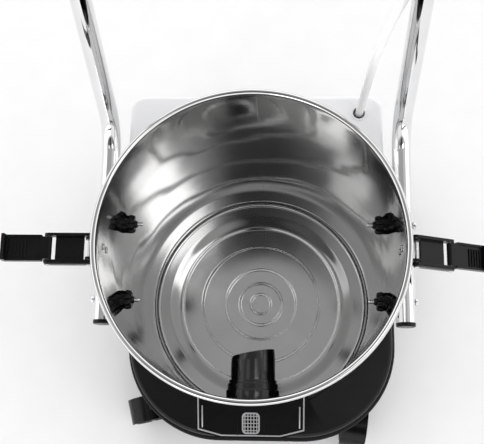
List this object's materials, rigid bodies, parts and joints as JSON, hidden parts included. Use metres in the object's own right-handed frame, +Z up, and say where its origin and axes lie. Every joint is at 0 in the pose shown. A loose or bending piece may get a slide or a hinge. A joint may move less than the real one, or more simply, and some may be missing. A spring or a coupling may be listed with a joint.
{
  "type": "wet vacuum drum trolley",
  "caption": "Open stainless drum on a swivel-caster base with push handle, over-centre latches, hose inlet and a rear solution tank.",
  "frame": {"origin": "bottom centre of the whole machine, on the ground", "axes": "+Z up, -Y towards the hose inlet at the front, +X to the machine's right as seen from the front"},
  "size_m": [0.6712, 0.6356, 0.975],
  "materials": {
    "drum_steel": "polished stainless steel with a soft mirror sheen",
    "chrome_tube": "chromed steel tube",
    "bright_steel": "bright zinc-plated steel",
    "tank_plastic": "milky translucent polyethylene",
    "hose_vinyl": "milky vinyl hose",
    "brass": "turned brass",
    "gasket_rubber": "soft black rubber",
    "silver_trim": "satin silver inlay",
    "gloss_black": "glossy black moulding",
    "wheel_rubber": "black moulded tread",
    "base_plastic": "fine-grained charcoal moulding",
    "black_plastic": "black moulded plastic"
  },
  "bodies": {
    "machine": {"base_bumper": "base_plastic", "base_shell": "base_plastic", "drum_floor": "drum_steel", "drum_shell": "drum_steel", "handle_bolt_front_left": "bright_steel", "handle_bolt_front_right": "bright_steel", "handle_bolt_rear_left": "bright_steel", "handle_bolt_rear_right": "bright_steel", "handle_plug_left": "black_plastic", "handle_plug_right": "black_plastic", "handle_spacer_front_left": "black_plastic", "handle_spacer_front_right": "black_plastic", "handle_spacer_rear_left": "black_plastic", "handle_spacer_rear_right": "black_plastic", "hose": "hose_vinyl", "hose_clip": "black_plastic", "hose_coupling": "brass", "housing_badge": "silver_trim", "housing_trim": "silver_trim", "inlet_elbow": "black_plastic", "inlet_gasket": "gasket_rubber", "inlet_housing": "gloss_black", "inlet_nut": "black_plastic", "knob_seat_front_left": "black_plastic", "knob_seat_front_right": "black_plastic", "knob_seat_rear_left": "black_plastic", "knob_seat_rear_right": "black_plastic", "latch_bracket_left": "black_plastic", "latch_bracket_right": "black_plastic", "latch_pin_left": "bright_steel", "latch_pin_right": "bright_steel", "latch_rivets_left": "bright_steel", "latch_rivets_right": "bright_steel", "push_handle": "chrome_tube", "solution_tank": "tank_plastic"},
    "caster_front_left": {"caster_fork_front_left": "black_plastic", "caster_axle_front_left": "bright_steel"},
    "wheels_front_left": {"caster_wheels_front_left": "wheel_rubber"},
    "caster_front_right": {"caster_fork_front_right": "black_plastic", "caster_axle_front_right": "bright_steel"},
    "wheels_front_right": {"caster_wheels_front_right": "wheel_rubber"},
    "caster_rear_left": {"caster_fork_rear_left": "black_plastic", "caster_axle_rear_left": "bright_steel"},
    "wheels_rear_left": {"caster_wheels_rear_left": "wheel_rubber"},
    "caster_rear_right": {"caster_fork_rear_right": "black_plastic", "caster_axle_rear_right": "bright_steel"},
    "wheels_rear_right": {"caster_wheels_rear_right": "wheel_rubber"},
    "link_left": {"latch_link_left": "black_plastic", "latch_strap_left": "bright_steel", "lever_pin_left": "bright_steel"},
    "lever_left": {"latch_lever_left": "black_plastic"},
    "knob_front_left": {"star_knob_front_left": "black_plastic"},
    "knob_rear_left": {"star_knob_rear_left": "black_plastic"},
    "link_right": {"latch_link_right": "black_plastic", "latch_strap_right": "bright_steel", "lever_pin_right": "bright_steel"},
    "lever_right": {"latch_lever_right": "black_plastic"},
    "knob_front_right": {"star_knob_front_right": "black_plastic"},
    "knob_rear_right": {"star_knob_rear_right": "black_plastic"}
  },
  "joints": [
    {"name": "swivel_front_left", "type": "hinge", "parent": "machine", "child": "caster_front_left", "pos_m": [-0.18239, -0.2347, 0.092], "axis": [0, 0, 1], "continuous": true},
    {"name": "roll_front_left", "type": "hinge", "parent": "caster_front_left", "child": "wheels_front_left", "pos_m": [-0.21635, -0.24317, 0.0375], "axis": [0.2419, -0.9703, 0], "continuous": true},
    {"name": "swivel_front_right", "type": "hinge", "parent": "machine", "child": "caster_front_right", "pos_m": [0.19161, -0.2347, 0.092], "axis": [0, 0, 1], "continuous": true},
    {"name": "roll_front_right", "type": "hinge", "parent": "caster_front_right", "child": "wheels_front_right", "pos_m": [0.18674, -0.26936, 0.0375], "axis": [0.9903, -0.1392, 0], "continuous": true},
    {"name": "swivel_rear_left", "type": "hinge", "parent": "machine", "child": "caster_rear_left", "pos_m": [-0.18239, 0.1573, 0.092], "axis": [0, 0, 1], "continuous": true},
    {"name": "roll_rear_left", "type": "hinge", "parent": "caster_rear_left", "child": "wheels_rear_left", "pos_m": [-0.19882, 0.18821, 0.0375], "axis": [-0.8829, -0.4695, 0], "continuous": true},
    {"name": "swivel_rear_right", "type": "hinge", "parent": "machine", "child": "caster_rear_right", "pos_m": [0.19161, 0.1573, 0.092], "axis": [0, 0, 1], "continuous": true},
    {"name": "roll_rear_right", "type": "hinge", "parent": "caster_rear_right", "child": "wheels_rear_right", "pos_m": [0.20804, 0.18821, 0.0375], "axis": [-0.8829, 0.4695, 0], "continuous": true},
    {"name": "latch_swing_left", "type": "hinge", "parent": "machine", "child": "link_left", "pos_m": [-0.21559, -0.0477, 0.665], "axis": [0, 1, 0], "range_deg": [-70, 88]},
    {"name": "lever_fold_left", "type": "hinge", "parent": "link_left", "child": "lever_left", "pos_m": [-0.27259, -0.0477, 0.665], "axis": [0, 1, 0], "range_deg": [0, 60]},
    {"name": "knob_turn_front_left", "type": "hinge", "parent": "machine", "child": "knob_front_left", "pos_m": [-0.17339, -0.1037, 0.573], "axis": [1, 0, 0], "continuous": true},
    {"name": "knob_turn_rear_left", "type": "hinge", "parent": "machine", "child": "knob_rear_left", "pos_m": [-0.17339, 0.0083, 0.573], "axis": [1, 0, 0], "continuous": true},
    {"name": "latch_swing_right", "type": "hinge", "parent": "machine", "child": "link_right", "pos_m": [0.22481, -0.0477, 0.665], "axis": [0, -1, 0], "range_deg": [-41, 117]},
    {"name": "lever_fold_right", "type": "hinge", "parent": "link_right", "child": "lever_right", "pos_m": [0.27466, -0.0477, 0.63737], "axis": [0, -1, 0], "range_deg": [0, 60]},
    {"name": "knob_turn_front_right", "type": "hinge", "parent": "machine", "child": "knob_front_right", "pos_m": [0.18261, -0.1037, 0.573], "axis": [-1, 0, 0], "continuous": true},
    {"name": "knob_turn_rear_right", "type": "hinge", "parent": "machine", "child": "knob_rear_right", "pos_m": [0.18261, 0.0083, 0.573], "axis": [-1, 0, 0], "continuous": true}
  ]
}
